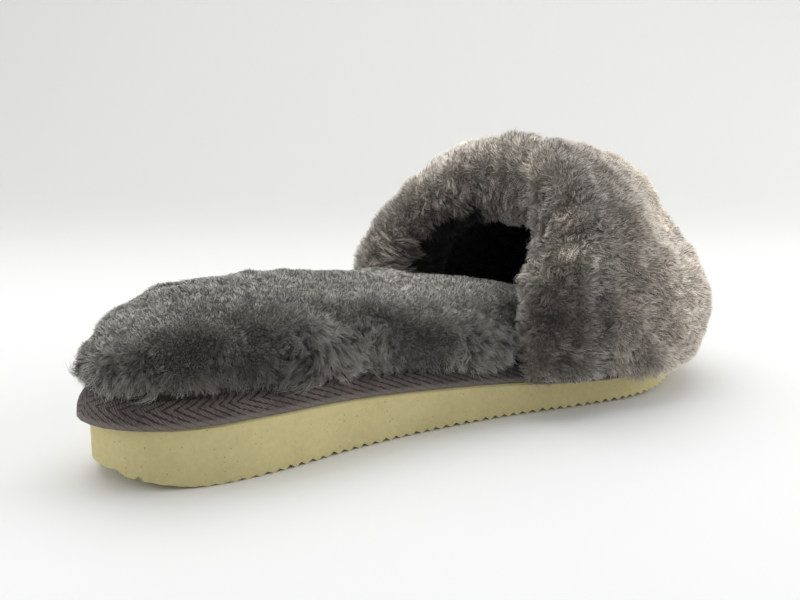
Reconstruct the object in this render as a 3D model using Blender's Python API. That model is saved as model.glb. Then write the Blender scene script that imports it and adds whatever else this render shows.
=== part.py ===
# Backless sheepskin slipper, left foot: foam wedge sole, taped footbed, fur insole, closed toe, fur cuff.
# Metres, +Z up, +X towards the toe, +Y towards the outer side of the foot.
# The origin is the heel's rest spot on the floor.
# A place along the sole is its share of the sole's length from the heel.
import math
import random
from collections import namedtuple

import bmesh
import bpy
from mathutils import Vector

# Sole
SOLE_LENGTH = 0.262
BALL_WIDTH = 0.0964
HEEL_SEAT = 0.040          # from the heel's end to the rest spot at the origin
HEEL_THICKNESS = 0.0211
TOE_THICKNESS = 0.0099
TOE_SPRING = 0.0051
HEEL_LIFT = 0.0055
RIB_PITCH = 0.005
RIB_DEPTH = 0.0015
RIB_LAND = 0.0018          # flat crest of one rib
RIB_GROOVE = 0.0009        # flat floor between two ribs
SOLE_EDGE = 0.0008         # broken edge round the top

# Footbed and tape
FOOTBED_HEEL = 0.0098
FOOTBED_BALL = 0.0052
FOOTBED_NOSE = 0.009       # how far the rounded edge reaches in
FOOTBED_ANGLES = (0, 25, 50, 72, 90)   # degrees up the rounded edge
HEEL_OVERHANG = 0.0045     # how far the taped edge stands out behind the sole
OVERHANG_ENDS = 0.16       # share of the length
TAPE_ANGLES = (0, 14, 28, 41, 54)      # degrees up the rounded edge
TAPE_STATIONS = 36
TAPE_THICKNESS = 0.0011
PRESSED_IN = 0.0006        # the taped edge gives this much under the upper

# Fur insole
INSOLE_PILE = 0.0275       # crown over the footbed at the heel
INSOLE_SWELL = 0.0038      # height of its widest line over the footbed
INSOLE_MARGIN = 0.0020     # its side inside the edge of the taped footbed
INSOLE_TOE_MARGIN = 0.0050 # the same in the toe, inside the upper
INSOLE_HANGS_OUT = 0.45    # share of the tape's overhang that it follows at the heel
INSOLE_FULLNESS = (0.8, 0.9)           # across and up: 1 is an ellipse, less is squarer
INSOLE_TURNS = 18          # points of one section
INSOLE_LOCKS_END = 0.50    # share of the length that carries locks, up to the cuff
INSOLE_LEAN = (-0.5, 0.4, -0.2)        # the pile lies back, outwards and down

# Upper
INSTEP_HEIGHT = 0.0885     # from the floor to the hide's underside at the opening
OPENING_SIDE = 0.149       # from the heel's end to the opening at the sole, on the outer side
OPENING_SKEW = 0.013       # the opening lies this much further forward on the inner side
OPENING_TOP = 0.186        # from the heel's end to the opening at the instep
TOE_CENTRE = 0.222         # from the heel's end to the crown of the toe
INSTEP_FULLNESS = 0.80     # 1 is an ellipse, less is squarer
TOE_FULLNESS = 1.0
OPENING_SWEEP = 3.0        # how late the opening's edge turns forward on its way up
TOE_FAN_STARTS = 0.231     # from the heel's end to where the upper's sections begin to fan round the toe
SPINE_SHIFT = 0.002        # the crown line lies this far to the outer side
HIDE_THICKNESS = 0.0020
UPPER_PILE = 0.0105
UPPER_HEM_PILE = 0.45      # share of the pile at the hem
UPPER_LEAN = (0.25, 0.0, -0.45)        # the pile lies towards the toe and down
ARCH_LEVELS = 10           # steps from hem to crown
TOE_STEPS = 8              # steps from the cuff to the toe
TOE_DROP = 0.0020          # how far the fur hangs below the sole's top at the toe
CREASE_STARTS = 0.205      # from the heel's end to the crease between the instep's fur and the toe's
CREASE_DEPTH = 0.25        # share of the pile
CREASE_LEVEL = 42          # degrees up the arch
CREASE_SPREAD = 9          # degrees
TOE_SWELL = 0.25           # extra pile low round the toe, as a share of the pile

# Cuff
CUFF_WIDTH = 0.034         # along the upper, from the opening to its front edge
CUFF_PUFF = 0.0015         # it stands this much higher than the upper's fur
CUFF_ROLL = 0.0100         # it rolls this far behind the hide's edge
LINING_PILE = 0.0110
LINING_DEPTH = 0.024       # how far the cuff reaches into the opening
CUFF_HEM_PILE = 0.6        # share of the pile at the hem
CUFF_LEAN = (-0.30, 0.0, -0.35)        # the pile lies back and down

# Locks of fur, as shares of their length or of their face's side
LOCK_LENGTH = 0.0040
UPPER_LOCK = 0.8           # the upper's locks are shorter by this share
LOCK_SHORTEST = 0.55
LOCK_SHOULDER = 0.16
LOCK_SWAY = 0.15

CLEARANCE = 0.0003
HEM_FULLNESS = 0.6         # how soon the pile grows to its full depth above a hem
SHARP_FROM = 40            # degrees

# Plan of the sole: half widths as shares of the ball width
PlanRow = namedtuple("PlanRow", "along medial lateral")
PLAN = (
    PlanRow(0.00, 0.000, 0.000),
    PlanRow(0.03, 0.190, 0.172),
    PlanRow(0.10, 0.290, 0.292),
    PlanRow(0.20, 0.314, 0.345),
    PlanRow(0.33, 0.288, 0.376),
    PlanRow(0.45, 0.297, 0.420),
    PlanRow(0.58, 0.342, 0.490),
    PlanRow(0.70, 0.420, 0.528),
    PlanRow(0.82, 0.471, 0.477),
    PlanRow(0.92, 0.372, 0.332),
    PlanRow(0.975, 0.197, 0.176),
    PlanRow(1.00, 0.000, 0.000),
)

# Sole's thickness, as the share of the fall from heel to toe that is done there
WedgeRow = namedtuple("WedgeRow", "along fallen")
WEDGE = (
    WedgeRow(0.00, 0.00),
    WedgeRow(0.25, 0.14),
    WedgeRow(0.50, 0.57),
    WedgeRow(0.75, 1.00),
    WedgeRow(1.00, 1.00),
)
FOOTBED_STATIONS = 28      # sections of the footbed and the fur on it
HEEL_LIFT_ENDS = 0.12
TOE_SPRING_STARTS = 0.70

# Fur insole: crown as a share of the pile, and how much of the toe's margin it keeps
InsoleRow = namedtuple("InsoleRow", "along crown toe_room")
INSOLE = (
    InsoleRow(0.00, 0.30, 0.0),
    InsoleRow(0.03, 0.62, 0.0),
    InsoleRow(0.09, 0.90, 0.0),
    InsoleRow(0.17, 1.00, 0.0),
    InsoleRow(0.32, 0.98, 0.0),
    InsoleRow(0.51, 0.92, 0.0),
    InsoleRow(0.55, 0.89, 0.0),
    InsoleRow(0.60, 0.84, 0.0),
    InsoleRow(0.73, 0.74, 0.0),
    InsoleRow(0.82, 0.62, 1.0),
    InsoleRow(0.92, 0.40, 1.0),
    InsoleRow(1.00, 0.20, 1.0),
)

# Room that the insole leaves for the cuff's lining. Along is 0 at the cuff's back, 1 where its lining ends.
RoomRow = namedtuple("RoomRow", "along room")
CUFF_ROOM = (
    RoomRow(-1.60, 0.0),
    RoomRow(-0.16, 0.0),
    RoomRow(0.15, 0.9),
    RoomRow(0.54, 1.0),
    RoomRow(1.54, 1.0),
    RoomRow(2.23, 0.2),
    RoomRow(3.00, 0.0),
    RoomRow(3.60, 0.0),
)

# Crown line of the upper, from the opening to the toe's crown: height as a share of the instep's
SpineRow = namedtuple("SpineRow", "along rise")
SPINE = (
    SpineRow(-0.40, 0.985),
    SpineRow(0.00, 1.000),
    SpineRow(0.50, 0.990),
    SpineRow(1.00, 0.915),
)


def smooth(knots, values, at):
    """Cubic through the knots, with slopes from their neighbours."""
    last = len(knots) - 1
    at = min(max(at, knots[0]), knots[last])
    i = max(k for k in range(last) if knots[k] <= at)
    span = knots[i + 1] - knots[i]

    def slope(k):
        low = max(k - 1, 0)
        high = min(k + 1, last)
        return (values[high] - values[low]) / (knots[high] - knots[low])

    u = (at - knots[i]) / span
    start = (1 + 2 * u) * (1 - u) ** 2 * values[i] + u * (1 - u) ** 2 * span * slope(i)
    end = u * u * (3 - 2 * u) * values[i + 1] - u * u * (1 - u) * span * slope(i + 1)
    return start + end


def column(rows, name, at):
    return smooth([row.along for row in rows], [getattr(row, name) for row in rows], at)


def turn(along):
    """Share of the length as an angle, in which a round end is a straight line."""
    return math.acos(1 - 2 * min(max(along, 0.0), 1.0))


def half_width(along, side):
    name = "medial" if side < 0 else "lateral"
    knots = [turn(row.along) for row in PLAN]
    return max(smooth(knots, [getattr(row, name) for row in PLAN], turn(along)), 0.0) * BALL_WIDTH


def world_x(along):
    return along * SOLE_LENGTH - HEEL_SEAT


def along_of(x):
    return (x + HEEL_SEAT) / SOLE_LENGTH


def sole_bottom(along):
    lift = HEEL_LIFT * (max(HEEL_LIFT_ENDS - along, 0.0) / HEEL_LIFT_ENDS) ** 2
    spring = TOE_SPRING * (max(along - TOE_SPRING_STARTS, 0.0) / (1 - TOE_SPRING_STARTS)) ** 2
    return lift + spring


def sole_top(along):
    """Height of the sole's top."""
    along = min(max(along, 0.0), 1.0)
    fallen = column(WEDGE, "fallen", along)
    spring = TOE_SPRING * (max(along - TOE_SPRING_STARTS, 0.0) / (1 - TOE_SPRING_STARTS)) ** 2
    return HEEL_THICKNESS + (TOE_THICKNESS - HEEL_THICKNESS) * fallen + spring


def footbed_height(along):
    return FOOTBED_HEEL + (FOOTBED_BALL - FOOTBED_HEEL) * min(column(WEDGE, "fallen", along), 1.0)


def footbed_top(along):
    return sole_top(along) + CLEARANCE + footbed_height(along)


def overhang(along):
    """How far the taped edge stands out past the sole: out at the heel, pressed in under the upper."""
    heel = HEEL_OVERHANG * max(1 - along / OVERHANG_ENDS, 0.0) ** 1.5
    pressed_from = OPENING_SIDE - CUFF_ROLL
    pressed = min(max((along * SOLE_LENGTH - pressed_from) / CUFF_ROLL, 0.0), 1.0)
    return heel - PRESSED_IN * pressed


def plan_point(along, side, offset):
    """Point of the sole's outline, moved outwards in plan by offset."""
    step = 0.002
    x = world_x(along)
    y = side * half_width(along, side)
    if along <= 0.0:
        return x - offset, y
    if along >= 1.0:
        return x + offset, y
    before = max(along - step, 0.0)
    after = min(along + step, 1.0)
    run = (after - before) * SOLE_LENGTH
    rise = half_width(after, side) - half_width(before, side)
    size = math.hypot(run, rise)
    return x - offset * rise / size, y + side * offset * run / size


def plan_shares(count):
    """Places from heel to toe, closer together towards both round ends."""
    return [(1 - math.cos(math.pi * i / count)) / 2 for i in range(count + 1)]


def plan_stations(count):
    """Closed walk round the outline: medial side to the toe, then lateral side back to the heel."""
    shares = plan_shares(count)
    out = [(share, -1) for share in shares]
    back = [(share, 1) for share in shares[-2:0:-1]]
    return out + back


# Materials
Finish = namedtuple("Finish", "colour roughness")
FINISHES = {
    "sole_foam": Finish((0.456, 0.392, 0.205), 0.75),
    "footbed_board": Finish((0.045, 0.040, 0.034), 0.8),
    "herringbone_tape": Finish((0.127, 0.102, 0.093), 0.85),
    "insole_fur": Finish((0.114, 0.107, 0.095), 0.95),
    "upper_hide": Finish((0.10, 0.085, 0.075), 0.8),
    "upper_fur": Finish((0.205, 0.178, 0.156), 0.95),
    "cuff_fur": Finish((0.205, 0.178, 0.156), 0.95),
}


def finish(name):
    colour, roughness = FINISHES[name]
    material = bpy.data.materials.new(name)
    material.use_nodes = True
    shader = material.node_tree.nodes["Principled BSDF"]
    shader.inputs["Base Color"].default_value = (*colour, 1.0)
    shader.inputs["Roughness"].default_value = roughness
    shader.inputs["Metallic"].default_value = 0.0
    material.diffuse_color = (*colour, 1.0)
    return material


# Mesh helpers
def distinct(corners):
    """The corners of a face, each once."""
    kept = []
    for corner in corners:
        if corner not in kept:
            kept.append(corner)
    return kept


def add_points(mesh, points):
    return [mesh.verts.new(point) for point in points]


def add_face(mesh, corners):
    corners = distinct(corners)
    return mesh.faces.new(corners) if len(corners) > 2 else None


def skin(mesh, rows, close_rows=False, close_columns=False):
    """Quads between neighbouring rows of points. Returns them row by row."""
    made = []
    width = len(rows[0])
    for i in range(len(rows) if close_rows else len(rows) - 1):
        row, after = rows[i], rows[(i + 1) % len(rows)]
        strip = []
        for j in range(width if close_columns else width - 1):
            k = (j + 1) % width
            strip.append(add_face(mesh, (row[j], row[k], after[k], after[j])))
        made.append(strip)
    return made


def ladder(mesh, ring):
    """Cap of a ring made by plan_stations: rungs join its two sides."""
    count = len(ring)
    for i in range(count // 2):
        add_face(mesh, (ring[i], ring[i + 1], ring[(count - i - 1) % count], ring[(count - i) % count]))


def grow_locks(mesh, faces, length, lean, seed):
    """Each face rises into a tapered lock of fur whose tip leans the way the pile lies."""
    chance = random.Random(seed)
    mesh.normal_update()
    for face in faces:
        reach = length * chance.uniform(LOCK_SHORTEST, 1.0)
        normal = face.normal.copy()
        side = math.sqrt(face.calc_area())
        bmesh.ops.inset_individual(mesh, faces=[face], thickness=LOCK_SHOULDER * side, depth=0.5 * reach)
        tip = bmesh.ops.poke(mesh, faces=[face])["verts"][0]
        sway = Vector([chance.uniform(-1, 1) for _ in range(3)]) * LOCK_SWAY * side
        tip.co += (normal + lean(tip.co)) * 0.5 * reach + sway


def outward_faces(mesh, faces):
    """Turns all faces outwards before locks grow along their normals."""
    bmesh.ops.recalc_face_normals(mesh, faces=mesh.faces)
    return [face for face in faces if face is not None and len(face.verts) == 4]


def finished_object(name, mesh, material):
    bmesh.ops.recalc_face_normals(mesh, faces=mesh.faces)
    bmesh.ops.triangulate(mesh, faces=mesh.faces)
    data = bpy.data.meshes.new(name)
    mesh.to_mesh(data)
    mesh.free()
    data.materials.append(material)
    data.shade_smooth()
    data.set_sharp_from_angle(angle=math.radians(SHARP_FROM))
    piece = bpy.data.objects.new(name, data)
    bpy.context.scene.collection.objects.link(piece)
    return piece


# Outsole
def rib_stations():
    """Places along the sole, with the tread's depth: two for each rib's crest and two for each groove."""
    first = math.ceil(-HEEL_SEAT / RIB_PITCH)
    last = math.floor((SOLE_LENGTH - HEEL_SEAT) / RIB_PITCH)
    marks = []
    for rib in range(first, last + 1):
        crest = rib * RIB_PITCH
        groove = crest + RIB_PITCH / 2
        marks += [(crest - RIB_LAND / 2, 0.0), (crest + RIB_LAND / 2, 0.0)]
        marks += [(groove - RIB_GROOVE / 2, RIB_DEPTH), (groove + RIB_GROOVE / 2, RIB_DEPTH)]
    end_shares = (0.0005, 0.002, 0.005)
    inner = end_shares[-1] * 1.2
    stations = [(along_of(x), depth) for x, depth in marks if inner < along_of(x) < 1 - inner]
    heel = [(share, RIB_DEPTH / 2) for share in end_shares]
    toe = [(1 - share, RIB_DEPTH / 2) for share in reversed(end_shares)]
    return heel + stations + toe


def make_outsole():
    mesh = bmesh.new()
    rows = []
    for along, depth in rib_stations():
        x = world_x(along)
        medial = half_width(along, -1)
        lateral = half_width(along, 1)
        top = sole_top(along)
        bottom = sole_bottom(along) + depth
        edge = min(SOLE_EDGE, 0.3 * min(medial, lateral))
        section = (
            (x, -medial, bottom),
            (x, -medial, top - edge),
            (x, edge - medial, top),
            (x, lateral - edge, top),
            (x, lateral, top - edge),
            (x, lateral, bottom),
        )
        rows.append(add_points(mesh, section))
    skin(mesh, rows, close_columns=True)
    add_face(mesh, rows[0])
    add_face(mesh, rows[-1])
    return finished_object("outsole", mesh, finish("sole_foam"))


# Footbed and tape
def nose_ring(stations, angle, swell):
    """Ring on the footbed's rounded edge, swell outside the board's own surface."""
    points = []
    for along, side in stations:
        board_edge = overhang(along) - TAPE_THICKNESS - CLEARANCE
        offset = board_edge - FOOTBED_NOSE + (FOOTBED_NOSE + swell) * math.cos(angle)
        x, y = plan_point(along, side, offset)
        under = along_of(x)
        z = sole_top(under) + CLEARANCE + (footbed_height(under) + swell) * math.sin(angle)
        points.append((x, y, z))
    return points


def make_footbed():
    mesh = bmesh.new()
    stations = plan_stations(FOOTBED_STATIONS)
    angles = [math.radians(degrees) for degrees in FOOTBED_ANGLES]
    rows = [add_points(mesh, nose_ring(stations, angle, 0.0)) for angle in angles]
    skin(mesh, rows, close_columns=True)
    ladder(mesh, rows[0])
    ladder(mesh, rows[-1])
    return finished_object("footbed", mesh, finish("footbed_board"))


def make_edge_tape():
    mesh = bmesh.new()
    stations = plan_stations(TAPE_STATIONS)
    angles = [math.radians(degrees) for degrees in TAPE_ANGLES]
    outer = [nose_ring(stations, angle, CLEARANCE + TAPE_THICKNESS) for angle in angles]
    inner = [nose_ring(stations, angle, CLEARANCE) for angle in reversed(angles)]
    rows = [add_points(mesh, ring) for ring in outer + inner]
    skin(mesh, rows, close_rows=True, close_columns=True)
    return finished_object("edge_tape", mesh, finish("herringbone_tape"))


# Fur insole
def insole_offset(along, side):
    """The pad's side from the sole's outline: out at the heel, in beside the cuff and in the toe."""
    skew = OPENING_SKEW if side < 0 else 0.0
    past_cuff = along * SOLE_LENGTH - skew - (OPENING_SIDE - CUFF_ROLL)
    room = column(CUFF_ROOM, "room", past_cuff / (CUFF_ROLL + LINING_DEPTH)) * (LINING_PILE + LOCK_LENGTH)
    toe_room = column(INSOLE, "toe_room", along) * INSOLE_TOE_MARGIN
    return INSOLE_HANGS_OUT * overhang(along) - INSOLE_MARGIN - max(room, toe_room)


def insole_section(along):
    """Closed section of the pad: domed above its widest line, rounded in below it, flat on the footbed."""
    crown = INSOLE_PILE * column(INSOLE, "crown", along)
    swell = min(INSOLE_SWELL, 0.45 * crown)
    medial_x, medial = plan_point(along, -1, insole_offset(along, -1))
    lateral_x, lateral = plan_point(along, 1, insole_offset(along, 1))
    across_fullness, up_fullness = INSOLE_FULLNESS
    points = []
    for k in range(INSOLE_TURNS):
        angle = 2 * math.pi * k / INSOLE_TURNS
        across = math.copysign(abs(math.cos(angle)) ** across_fullness, math.cos(angle))
        up = math.copysign(abs(math.sin(angle)) ** up_fullness, math.sin(angle))
        share = (1 + across) / 2
        x = medial_x + (lateral_x - medial_x) * share
        y = medial + (lateral - medial) * share
        rise = (crown - swell) * up if up > 0 else swell * up
        points.append((x, y, footbed_top(along_of(x)) + CLEARANCE + swell + rise))
    return points


def insole_lean(point):
    """Pile of the insole lies outwards on both sides."""
    back, outwards, down = INSOLE_LEAN
    return Vector((back, math.copysign(outwards, point.y), down))


def make_insole():
    mesh = bmesh.new()
    shares = plan_shares(FOOTBED_STATIONS)
    rows = [add_points(mesh, insole_section(share)) for share in shares[1:-1]]
    strips = skin(mesh, rows, close_columns=True)
    add_face(mesh, rows[0])
    add_face(mesh, rows[-1])
    upper_half = INSOLE_TURNS // 2 + 1
    furry = []
    for i, strip in enumerate(strips):
        if shares[i + 2] < INSOLE_LOCKS_END:
            furry += strip[:upper_half] + strip[-1:]
    grow_locks(mesh, outward_faces(mesh, furry), LOCK_LENGTH, insole_lean, seed=3)
    return finished_object("insole_fur", mesh, finish("insole_fur"))


# Upper
def upper_point(place, side, angle, offset, drop=0.0):
    """Point of the upper's form. Offset 0 is the hide's inside, angle 0 its hem, a right angle its crown."""
    share = min((place - OPENING_SIDE) / (TOE_FAN_STARTS - OPENING_SIDE), 1.0)
    skew = OPENING_SKEW * (1 - max(share, 0.0)) if side < 0 else 0.0
    along = (place + skew) / SOLE_LENGTH
    crown_x = OPENING_TOP + (TOE_CENTRE - OPENING_TOP) * share - HEEL_SEAT
    crown_z = INSTEP_HEIGHT * column(SPINE, "rise", share) + offset
    hem_x, hem_y = plan_point(along, side, CLEARANCE + offset)
    hem_z = sole_top(along) + CLEARANCE
    fan = max(share, 0.0) ** 2
    fullness = arch_fullness(share)
    out = max(math.cos(angle), 0.0) ** fullness
    up = max(math.sin(angle), 0.0) ** fullness
    forward = (1 - fan) * up ** OPENING_SWEEP + fan * (1 - out)
    x = hem_x + (crown_x - hem_x) * forward
    y = SPINE_SHIFT + (hem_y - SPINE_SHIFT) * out
    z = hem_z + (crown_z - hem_z) * up - drop
    return x, y, z


def arch_fullness(share):
    """Power of the arch's sine and cosine: full over the instep, plainly round over the toe."""
    fan = max(share, 0.0) ** 2
    return INSTEP_FULLNESS + (TOE_FULLNESS - INSTEP_FULLNESS) * fan


def cuff_places():
    """Places along the hem that the hide and the cuff share."""
    return [OPENING_SIDE + reach for reach in (0.0, LINING_DEPTH / 2, LINING_DEPTH, CUFF_WIDTH)]


def toe_places():
    """Places along the hem from the cuff's front to the toe, closer together towards the toe."""
    first = turn((OPENING_SIDE + CUFF_WIDTH) / SOLE_LENGTH)
    turns = [first + (math.pi - first) * i / TOE_STEPS for i in range(TOE_STEPS + 1)]
    return [SOLE_LENGTH * (1 - math.cos(value)) / 2 for value in turns]


def there_and_back(places):
    """Walk along the hem: medial side to the toe, then back along the lateral side."""
    return [(place, -1) for place in places] + [(place, 1) for place in places[-2::-1]]


def level_angles():
    """Angles of the upper's levels, hem to crown."""
    return [math.pi / 2 * i / ARCH_LEVELS for i in range(ARCH_LEVELS + 1)]


def wall_rows(mesh, stations, levels, offset):
    """Rows of points up one face of a wall. The fan round the toe shares its crown point."""
    rows = []
    made = {}
    for place, side in stations:
        row = []
        for angle, drop_share in levels:
            drop = drop_share * toe_drop(place)
            point = upper_point(place, side, angle, offset(place, angle), drop)
            key = tuple(round(value, 6) for value in point)
            if key not in made:
                made[key] = mesh.verts.new(point)
            row.append(made[key])
        rows.append(row)
    return rows


def shell(mesh, stations, levels, inner_offset, outer_offset):
    """Closed wall between two offsets of the upper's form, open at the back and underneath."""
    inner = wall_rows(mesh, stations, levels, inner_offset)
    outer = wall_rows(mesh, stations, levels, outer_offset)
    skin(mesh, inner)
    strips = skin(mesh, outer)
    skin(mesh, [[row[0] for row in inner], [row[0] for row in outer]])
    for end in (0, -1):
        skin(mesh, [inner[end], outer[end]])
    return strips


def make_upper():
    mesh = bmesh.new()
    stations = there_and_back(cuff_places() + toe_places()[1:])
    levels = [(angle, 0.0) for angle in level_angles()]
    shell(mesh, stations, levels, lambda place, angle: 0.0, lambda place, angle: HIDE_THICKNESS)
    return finished_object("upper", mesh, finish("upper_hide"))


def toe_drop(place):
    """How far the fur hangs below the hide's hem."""
    start = OPENING_SIDE + CUFF_WIDTH
    return TOE_DROP * min(max((place - start) / (SOLE_LENGTH - start), 0.0), 1.0) ** 0.7


def fur_depth(place, angle):
    """Depth of the upper's pile: shorter at the hem, with a crease where the instep's fur meets the toe's."""
    depth = UPPER_PILE * (UPPER_HEM_PILE + (1 - UPPER_HEM_PILE) * math.sin(angle) ** HEM_FULLNESS)
    toe = min(max((place - CREASE_STARTS) / (TOE_FAN_STARTS - CREASE_STARTS), 0.0), 1.0)
    depth *= 1 + TOE_SWELL * toe * math.sin(2 * min(2 * angle, math.pi / 2)) ** 2
    from_crease = (math.degrees(angle) - CREASE_LEVEL) / CREASE_SPREAD
    return depth * (1 - CREASE_DEPTH * toe * math.exp(-from_crease ** 2))


def upper_lean(point):
    return Vector(UPPER_LEAN)


def make_upper_fur():
    mesh = bmesh.new()
    places = toe_places()
    places[0] += CLEARANCE
    levels = [(0.0, 1.0)] + [(angle, 0.0) for angle in level_angles()]
    base = HIDE_THICKNESS + CLEARANCE
    strips = shell(mesh, there_and_back(places), levels, lambda place, angle: base,
                   lambda place, angle: base + fur_depth(place, angle))
    furry = [face for i, strip in enumerate(strips) for j, face in enumerate(strip) if (i + j) % 2 == 0]
    grow_locks(mesh, outward_faces(mesh, furry), LOCK_LENGTH * UPPER_LOCK, upper_lean, seed=5)
    return finished_object("upper_fur", mesh, finish("upper_fur"))


# Cuff
def cuff_section():
    """The cuff's section round the hide's edge: places along the hem, and offsets from the hide's inside."""
    outside = HIDE_THICKNESS + CLEARANCE
    pile = outside + UPPER_PILE
    edge, mid, deep, front = cuff_places()
    return (
        (front, outside),
        (front, 0.93 * pile),
        (edge + 0.70 * CUFF_WIDTH, pile + CUFF_PUFF),
        (edge + 0.32 * CUFF_WIDTH, pile + CUFF_PUFF),
        (edge - 0.05 * CUFF_ROLL, pile),
        (edge - 0.75 * CUFF_ROLL, 0.62 * pile),
        (edge - CUFF_ROLL, HIDE_THICKNESS / 2),
        (edge - 0.80 * CUFF_ROLL, -0.58 * LINING_PILE),
        (edge, -0.96 * LINING_PILE),
        (mid, -LINING_PILE),
        (deep, -0.60 * LINING_PILE),
        (deep, -CLEARANCE),
        (mid, -CLEARANCE),
        (edge - CLEARANCE, -CLEARANCE),
        (edge - CLEARANCE, outside),
        (mid, outside),
        (deep, outside),
    )


# The ends of the cuff, as faces between points of its section
CUFF_END_FACES = ((0, 1, 2, 16), (16, 2, 3, 15), (15, 3, 14), (14, 3, 4), (14, 4, 5), (14, 5, 6), (14, 6, 13),
                  (13, 6, 7), (13, 7, 8), (13, 8, 12), (12, 8, 9), (12, 9, 10, 11))


def cuff_point(place, offset, side, angle):
    """Point of the cuff. Outside it starts at the hem with a shorter pile, and inside it clears the tape."""
    if offset < HIDE_THICKNESS:
        along = place / SOLE_LENGTH
        rise = footbed_height(along) + TAPE_THICKNESS + 2 * CLEARANCE
        lowest = math.asin((rise / (INSTEP_HEIGHT - sole_top(along))) ** (1 / INSTEP_FULLNESS))
        angle = lowest + (math.pi / 2 - lowest) * angle / (math.pi / 2)
        return upper_point(place, side, angle, offset)
    base = HIDE_THICKNESS + CLEARANCE
    depth = (offset - base) * (CUFF_HEM_PILE + (1 - CUFF_HEM_PILE) * math.sin(angle) ** HEM_FULLNESS)
    return upper_point(place, side, angle, base + depth)


def cuff_lean(point):
    return Vector(CUFF_LEAN)


def make_cuff():
    mesh = bmesh.new()
    section = cuff_section()
    angles = level_angles()
    walk = [(-1, angle) for angle in angles] + [(1, angle) for angle in angles[-2::-1]]
    rows = [add_points(mesh, [cuff_point(*corner, *step) for corner in section]) for step in walk]
    strips = skin(mesh, rows, close_columns=True)
    for row in (rows[0], rows[-1]):
        for corners in CUFF_END_FACES:
            add_face(mesh, [row[k] for k in corners])
    furry = [strip[j] for i, strip in enumerate(strips) for j in range(2, 10) if (i + j) % 2 == 0]
    grow_locks(mesh, outward_faces(mesh, furry), LOCK_LENGTH, cuff_lean, seed=7)
    return finished_object("cuff", mesh, finish("cuff_fur"))


def main():
    for thing in list(bpy.data.objects):
        bpy.data.objects.remove(thing)
    make_outsole()
    make_footbed()
    make_edge_tape()
    make_insole()
    make_upper()
    make_upper_fur()
    make_cuff()


main()
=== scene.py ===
# Fluffy slide slipper for the left foot: sheepskin upper, rolled cuff and footbed on a foam sole.
# The fur is thousands of thin mesh strands over smooth pelts, and the pelts stand for the carved solids.
import bpy
import bmesh
import math
import numpy as np
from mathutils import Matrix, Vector, kdtree
from mathutils.bvhtree import BVHTree


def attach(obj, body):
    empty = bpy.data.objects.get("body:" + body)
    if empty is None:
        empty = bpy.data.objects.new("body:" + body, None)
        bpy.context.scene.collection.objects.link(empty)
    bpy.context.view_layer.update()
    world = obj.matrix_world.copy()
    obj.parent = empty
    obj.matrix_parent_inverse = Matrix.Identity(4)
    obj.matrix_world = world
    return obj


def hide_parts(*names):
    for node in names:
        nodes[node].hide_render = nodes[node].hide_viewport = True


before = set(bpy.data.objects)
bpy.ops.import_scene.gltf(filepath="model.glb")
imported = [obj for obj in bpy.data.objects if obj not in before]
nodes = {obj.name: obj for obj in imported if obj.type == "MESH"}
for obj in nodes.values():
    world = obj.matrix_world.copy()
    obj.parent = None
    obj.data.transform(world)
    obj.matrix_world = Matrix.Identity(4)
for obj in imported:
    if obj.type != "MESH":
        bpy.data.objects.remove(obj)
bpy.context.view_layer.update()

scene = bpy.context.scene
scene.view_settings.view_transform = "Standard"
print("frame loaded:", ", ".join(sorted(nodes)))

# Camera, at the photograph's angle

shot = {
    "place": (-0.1818, -0.3605, 0.1495), "aim": (0.085, 0.0, 0.0435), "lens": 54.0, "sensor": 36.0,
    "clipStart": 0.01,
}


def aimAt(thing, place, aim):
    thing.location = place
    thing.rotation_euler = (Vector(aim) - Vector(place)).to_track_quat("-Z", "Y").to_euler()


def addObject(name, data):
    thing = bpy.data.objects.new(name, data)
    scene.collection.objects.link(thing)
    return thing


camera = addObject("camera", bpy.data.cameras.new("camera"))
camera.data.lens = shot["lens"]
camera.data.sensor_width = shot["sensor"]
camera.data.clip_start = shot["clipStart"]
aimAt(camera, shot["place"], shot["aim"])
scene.camera = camera
print("camera set")


# Helpers for nodes and meshes

def addNode(tree, kind, inputs=None, **settings):
    node = tree.nodes.new(kind)
    for key, value in settings.items():
        setattr(node, key, value)
    for key, value in (inputs or {}).items():
        if isinstance(value, bpy.types.NodeSocket):
            tree.links.new(value, node.inputs[key])
        else:
            node.inputs[key].default_value = value
    return node


def calc(tree, operation, first, second=0.0):
    return addNode(tree, "ShaderNodeMath", {0: first, 1: second}, operation=operation).outputs[0]


def times(tree, first, second):
    return calc(tree, "MULTIPLY", first, second)


def plus(tree, first, second):
    return calc(tree, "ADD", first, second)


def blendColour(tree, share, first, second, mode="MIX"):
    node = addNode(tree, "ShaderNodeMix", {0: share, 6: first, 7: second}, data_type="RGBA", blend_type=mode)
    return node.outputs[2]


def brighten(tree, colours, gain):
    grey = addNode(tree, "ShaderNodeCombineColor", {0: gain, 1: gain, 2: gain}).outputs[0]
    return blendColour(tree, 1.0, colours, grey, "MULTIPLY")


def rescale(tree, value, low, high, newLow=0.0, newHigh=1.0):
    inputs = {0: value, 1: low, 2: high, 3: newLow, 4: newHigh}
    return addNode(tree, "ShaderNodeMapRange", inputs, interpolation_type="SMOOTHSTEP").outputs[0]


def objectCoords(tree):
    return addNode(tree, "ShaderNodeTexCoord").outputs["Object"]


def attribute(tree, name, output="Fac"):
    return addNode(tree, "ShaderNodeAttribute", attribute_name=name).outputs[output]


def cloud(tree, coords, scale, detail=3.0, rough=0.55):
    inputs = {"Vector": coords, "Scale": scale, "Detail": detail, "Roughness": rough}
    return addNode(tree, "ShaderNodeTexNoise", inputs).outputs[0]


def addBump(tree, shader, height, strength, distance):
    bump = addNode(tree, "ShaderNodeBump", {"Strength": strength, "Distance": distance, "Height": height})
    tree.links.new(bump.outputs[0], shader.inputs["Normal"])


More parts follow.
